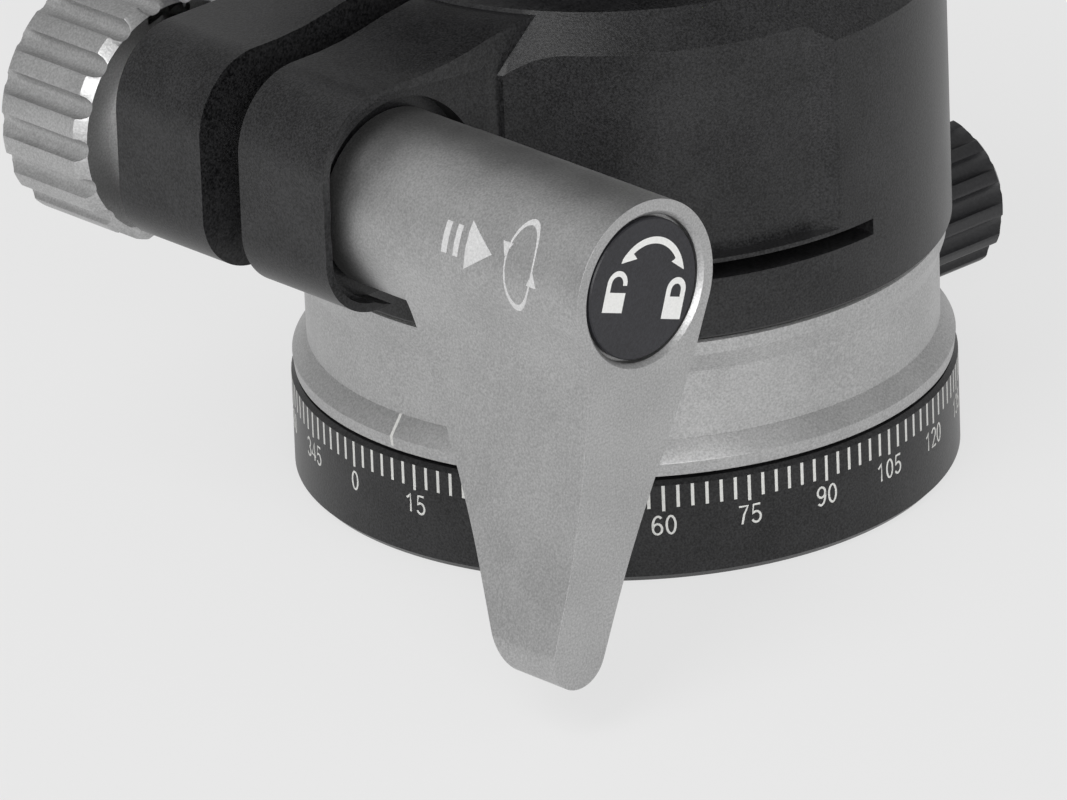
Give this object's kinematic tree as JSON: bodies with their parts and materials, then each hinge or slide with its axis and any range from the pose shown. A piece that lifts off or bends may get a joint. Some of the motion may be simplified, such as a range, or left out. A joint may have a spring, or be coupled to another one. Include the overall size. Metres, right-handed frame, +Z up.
{
  "type": "tripod ball head",
  "caption": "Ball head with a graduated panning base, a split collar clamped by a spring-loaded ratchet lever, and a dovetail clamp with a camera plate.",
  "frame": {"origin": "centre of the base's underside, where the tripod's stud enters", "axes": "+Z up along the panning axis; -X out through the two ears of the split collar; -Y towards the lever's outer face; +X towards the pan lock"},
  "size_m": [0.0923, 0.0833, 0.0925],
  "materials": {
    "black_anodised": "fine bead-blasted black anodising",
    "silver_anodised": "fine bead-blasted titanium-grey anodising",
    "bright_steel": "turned, bright",
    "brass": "turned",
    "white_plastic": "smooth, self-lubricating",
    "black_plastic": "satin",
    "black_rubber": "matt, ribbed",
    "level_glass": "clear, filled with green fluid"
  },
  "bodies": {
    "base": {"pan_base": "black_anodised", "tripod_bush": "bright_steel", "pan_washer": "white_plastic", "top_washer": "white_plastic", "hub_plate": "bright_steel", "hub_screw": "bright_steel"},
    "housing": {"index_ring": "silver_anodised", "collar_body": "black_anodised", "ring_screw_1": "bright_steel", "ring_screw_2": "bright_steel", "ring_screw_3": "bright_steel", "ring_screw_4": "bright_steel", "cup_spring": "bright_steel", "ear_washer": "bright_steel", "far_washer": "bright_steel"},
    "ball_seat": {"ball_cup": "white_plastic"},
    "ball": {"ball": "black_anodised"},
    "platform": {"clamp_body": "black_anodised", "stem_screw": "bright_steel", "level_vial": "level_glass", "guide_pin_1": "bright_steel", "guide_pin_2": "bright_steel"},
    "jaw": {"moving_jaw": "black_anodised"},
    "clamp_knob": {"clamp_knob": "silver_anodised", "clamp_screw": "bright_steel"},
    "plate": {"camera_plate": "black_anodised", "plate_pad": "black_rubber", "stop_screw_1": "bright_steel", "stop_screw_2": "bright_steel"},
    "camera_screw": {"camera_screw": "bright_steel", "screw_clip": "bright_steel"},
    "bolt": {"clamp_bolt": "bright_steel", "spline_sleeve": "bright_steel", "lever_screw": "bright_steel", "lever_spring": "bright_steel"},
    "lever": {"lever": "silver_anodised", "badge": "black_plastic"},
    "friction_knob": {"friction_knob": "silver_anodised", "knob_nut": "brass"},
    "brake": {"brake_shoe": "black_plastic"},
    "pan_knob": {"pan_knob": "black_plastic", "pan_screw": "bright_steel"}
  },
  "joints": [
    {"name": "pan", "type": "hinge", "parent": "base", "child": "housing", "pos_m": [0, 0, 0.0125], "axis": [0, 0, 1], "continuous": true},
    {"name": "ball_swivel", "type": "hinge", "parent": "housing", "child": "ball_seat", "pos_m": [0, 0, 0.0398], "axis": [0, 0, 1], "continuous": true},
    {"name": "ball_tilt", "type": "hinge", "parent": "ball_seat", "child": "ball", "pos_m": [0, 0, 0.0398], "axis": [1, 0, 0], "range_deg": [-30, 30]},
    {"name": "ball_spin", "type": "hinge", "parent": "ball", "child": "platform", "pos_m": [0, 0, 0.0711], "axis": [0, 0, 1], "continuous": true},
    {"name": "jaw_slide", "type": "slide", "parent": "platform", "child": "jaw", "axis": [0, 1, 0], "range_m": [0, 0.0034]},
    {"name": "clamp_knob_turn", "type": "hinge", "parent": "jaw", "child": "clamp_knob", "pos_m": [0, 0.0275, 0.0745], "axis": [0, 1, 0], "range_deg": [0, 1250]},
    {"name": "plate_slide", "type": "slide", "parent": "platform", "child": "plate", "axis": [1, 0, 0], "range_m": [-0.005, 0.005]},
    {"name": "camera_screw_turn", "type": "hinge", "parent": "plate", "child": "camera_screw", "pos_m": [0, 0, 0.0789], "axis": [0, 0, 1], "continuous": true},
    {"name": "lever_turn", "type": "hinge", "parent": "housing", "child": "bolt", "pos_m": [-0.0378, 0, 0.0395], "axis": [0, -1, 0], "range_deg": [0, 75]},
    {"name": "lever_pull", "type": "slide", "parent": "bolt", "child": "lever", "axis": [0, -1, 0], "range_m": [0, 0.004], "stiffness_N_per_m": 300, "springref_m": -0.003, "deforming": ["lever_spring"]},
    {"name": "friction_turn", "type": "hinge", "parent": "housing", "child": "friction_knob", "pos_m": [-0.0378, 0.0132, 0.0395], "axis": [0, 1, 0], "range_deg": [-90, 90]},
    {"name": "brake_slide", "type": "slide", "parent": "housing", "child": "brake", "axis": [1, 0, 0], "range_m": [0, 0.00052]},
    {"name": "pan_knob_turn", "type": "hinge", "parent": "brake", "child": "pan_knob", "pos_m": [0.0302, 0, 0.0125], "axis": [1, 0, 0], "range_deg": [0, 270]}
  ],
  "couplings": [
    {"joint": "clamp_knob_turn", "follows": "jaw_slide", "rad_per_m": 6283.2},
    {"joint": "pan_knob_turn", "follows": "brake_slide", "rad_per_m": 8976}
  ]
}
